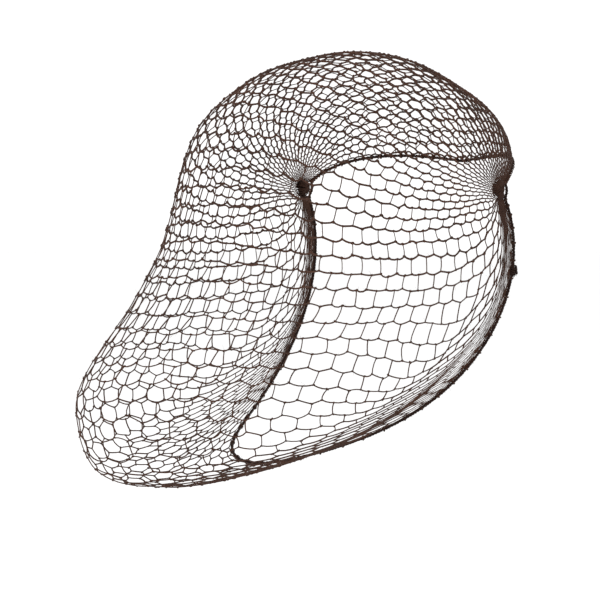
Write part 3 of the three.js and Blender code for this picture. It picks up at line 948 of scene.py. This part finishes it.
def elastic_knot():
    """A small tangle of the cord's plies on the elastic, with turns round it and frayed tails."""
    along = np.array([KNOT_PLACE - EDGE_STEP, KNOT_PLACE, KNOT_PLACE + EDGE_STEP])
    cord = beside_edge(1, along, CLEARANCE + ELASTIC_RADIUS)
    beside = beside_edge(1, along, 2 * CLEARANCE + 2 * ELASTIC_RADIUS + KNOT_RADIUS)[1]
    inward, run = unit(cord[1] - beside), unit(cord[2] - cord[0])
    lift = np.cross(inward, run)
    centre = beside + TANGLE_INWARD * inward
    t = np.linspace(0, 2 * np.pi, KNOT_RINGS, endpoint=False)[:, None]
    made = []
    for size, tip, radius in TANGLE:
        turns = (np.sin(t) + 2 * np.sin(2 * t), np.cos(t) - 2 * np.cos(2 * t), -1.5 * np.sin(3 * t))
        a, b, c = (size * x for x in turns)
        a, b = math.cos(tip) * a - math.sin(tip) * b, math.sin(tip) * a + math.cos(tip) * b
        flat = TANGLE_STRETCH * a * run + TANGLE_FLATNESS * b * inward
        path = centre + flat + TANGLE_DEPTH * c * lift
        up = unit(path - beside)
        made.append(tubes(path[None], radius, up[None], sides=7, closed=True))
    for place in KNOT_WRAPS:
        slant = place + KNOT_WRAP_SLANT * np.sin(t)
        path = cord[1] + KNOT_WRAP_RADIUS * (np.cos(t) * inward + np.sin(t) * lift) + slant * run
        up = np.broadcast_to(run, path.shape)
        made.append(tubes(path[None], KNOT_WRAP_THREAD, up[None], sides=7, closed=True))
    share = np.linspace(0, 1, TAIL_RINGS)[:, None]
    for tail in range(TAIL_COUNT):
        sense = 1 if tail % 2 else -1
        long = rng.uniform(*TAIL_LENGTHS)
        aside = rng.normal(0, TAIL_ASIDE, 3)
        out = sense * run * TAIL_ALONG + aside[0] * lift - abs(aside[1]) * inward * TAIL_OFF
        curl = TAIL_CURL * aside[2] * np.sin(TAIL_CURL_TURN * share) * lift
        sink = TAIL_INWARD * share**2 * inward
        path = centre + long * share * unit(out) + (curl + sink)
        radius = rng.uniform(*TAIL_RADII) * (1 - TAIL_TAPER * share[:, 0])
        made.append(tubes(path[None], radius[None], inward[None], sides=5))
    return made


add_piece("elastic_knot_tied", elastic_knot(), ELASTIC, ["elastic_knot"])


# Loose fibres that stand off the threads

NETTING_FIBRES, NETTING_FIBRE_LENGTHS, NETTING_FIBRE_RADIUS = 3600, (1.0, 3.2), 0.055
ELASTIC_FIBRES, ELASTIC_FIBRE_LENGTHS, ELASTIC_FIBRE_RADIUS = 1500, (0.7, 2.0), 0.06
ELASTIC_FIBRE_ROOT = 0.7
FIBRE_RINGS = 4
FIBRE_LEAN, FIBRE_BEND, FIBRE_DRIFT, FIBRE_TAPER = 0.9, 0.45, 0.3, 0.6


def fibres(starts, runs, ups, lengths, radius):
    """Short bent fibres that leave a thread at a slant."""
    count = len(starts)
    turn = rng.uniform(0, 2 * np.pi, (count, 1))
    sides = np.cross(ups, runs)
    out = np.cos(turn) * ups + np.sin(turn) * sides
    lean = unit(out + rng.normal(0, FIBRE_LEAN, (count, 1)) * runs)
    bend = unit(np.cross(lean, out)) * rng.normal(0, FIBRE_BEND, (count, 1))
    share = np.linspace(0, 1, FIBRE_RINGS)[None, :, None]
    long = rng.uniform(*lengths, (count, 1, 1))
    curve = share * lean[:, None] + share**2 * (bend + FIBRE_DRIFT * runs)[:, None]
    paths = starts[:, None] + long * curve
    return tubes(paths, radius * (1 - FIBRE_TAPER * share[..., 0]), out, sides=3)


def netting_fibres():
    row = rng.integers(1, ROWS, NETTING_FIBRES)
    half = rng.integers(0, 2 * COLUMNS, NETTING_FIBRES)
    share = rng.uniform(0, 1, NETTING_FIBRES)
    down = DOWN[row, half] * (1 - share) + DOWN[row, half + 1] * share
    along = ALONG[row, half] * (1 - share) + ALONG[row, half + 1] * share
    run = knot_point(row, half + 1) - knot_point(row, half)
    keep = np.linalg.norm(run, axis=1) > 1
    starts, ups = form_point(down, along)[keep], form_normal(down, along)[keep]
    return fibres(starts, unit(run[keep]), ups, NETTING_FIBRE_LENGTHS, NETTING_FIBRE_RADIUS)


def elastic_fibres():
    place = rng.integers(0, ELASTIC_RINGS, ELASTIC_FIBRES)
    run = unit(np.roll(ELASTIC_LINE, -1, axis=0) - ELASTIC_LINE)[place]
    turn = rng.uniform(0, 2 * np.pi, (ELASTIC_FIBRES, 1))
    out = np.cos(turn) * ELASTIC_SIDES[place] + np.sin(turn) * ELASTIC_LIFTS[place]
    starts = ELASTIC_LINE[place] + ELASTIC_FIBRE_ROOT * out
    return fibres(starts, run, out, ELASTIC_FIBRE_LENGTHS, ELASTIC_FIBRE_RADIUS)


add_piece("netting_fluff", [netting_fibres()], NETTING, ["net"])
add_piece("elastic_fluff", [elastic_fibres()], ELASTIC, ["edge_elastic"])


# Floor, light and camera

FLOOR_HEIGHT, FLOOR_RADIUS = -0.30, 9
AIR_STRENGTH = 1.12
CAMERA_AZIMUTH, CAMERA_ELEVATION = math.radians(226.5), math.radians(1.5)
CAMERA_DISTANCE, VIEW_WIDTH = 1.7, 0.345
CAMERA_CENTRE = Vector((0, 0.060, -0.030))
AIM_SHIFT_LEFT, AIM_SHIFT_DOWN = 0.0138, 0.0336
LIT_CENTRE = Vector((0, 0.08, -0.05))

# Name, then back, right and up from the lit centre, size and power
LIGHTS = (
    ("key", 1.3, -1.1, 1.2, 1.2, 22),
    ("fill", 1.0, 1.5, 0.5, 1.4, 8),
)


def add_floor():
    mesh = bpy.data.meshes.new("studio_floor")
    turn = np.linspace(0, 2 * np.pi, 64, endpoint=False)
    points = [(FLOOR_RADIUS * math.cos(a), FLOOR_RADIUS * math.sin(a), FLOOR_HEIGHT) for a in turn]
    mesh.from_pydata(points, [], [list(range(len(points)))])
    material = bpy.data.materials.new("studio_paper")
    material.use_nodes = True
    shader = material.node_tree.nodes["Principled BSDF"]
    shader.inputs["Base Color"].default_value = (0.9, 0.9, 0.9, 1)
    shader.inputs["Roughness"].default_value = 0.9
    shader.inputs["Specular IOR Level"].default_value = 0.1
    mesh.materials.append(material)
    floor = bpy.data.objects.new("studio_floor", mesh)
    bpy.context.scene.collection.objects.link(floor)


def add_air():
    world = bpy.data.worlds.new("studio_air")
    world.use_nodes = True
    background = world.node_tree.nodes["Background"]
    background.inputs["Color"].default_value = (1, 1, 1, 1)
    background.inputs["Strength"].default_value = AIR_STRENGTH
    bpy.context.scene.world = world
    bpy.context.scene.view_settings.view_transform = "Standard"


def add_light(name, place, aim, size, power):
    data = bpy.data.lights.new(name, "AREA")
    data.shape = "DISK"
    data.size = size
    data.energy = power
    light = bpy.data.objects.new(name, data)
    light.location = place
    light.rotation_mode = "QUATERNION"
    light.rotation_quaternion = (aim - place).to_track_quat("-Z", "Y")
    bpy.context.scene.collection.objects.link(light)


def add_camera():
    """The photo's camera; returns its right, back and up directions."""
    right = Vector((math.cos(CAMERA_AZIMUTH), math.sin(CAMERA_AZIMUTH), 0))
    back = Vector(
        (
            math.sin(CAMERA_AZIMUTH) * math.cos(CAMERA_ELEVATION),
            -math.cos(CAMERA_AZIMUTH) * math.cos(CAMERA_ELEVATION),
            math.sin(CAMERA_ELEVATION),
        )
    )
    up = back.cross(right)
    place = CAMERA_CENTRE + back * CAMERA_DISTANCE
    aim = CAMERA_CENTRE - right * AIM_SHIFT_LEFT - up * AIM_SHIFT_DOWN
    data = bpy.data.cameras.new("camera")
    data.sensor_width = 36
    data.lens = data.sensor_width * CAMERA_DISTANCE / VIEW_WIDTH
    camera = bpy.data.objects.new("camera", data)
    camera.location = place
    camera.rotation_mode = "QUATERNION"
    camera.rotation_quaternion = (aim - place).to_track_quat("-Z", "Y")
    bpy.context.scene.collection.objects.link(camera)
    bpy.context.scene.camera = camera
    return right, back, up


right, back, up = add_camera()
add_floor()
add_air()
for name, far, aside, high, size, power in LIGHTS:
    place = LIT_CENTRE + back * far + right * aside + up * high
    add_light(name, place, LIT_CENTRE, size, power)
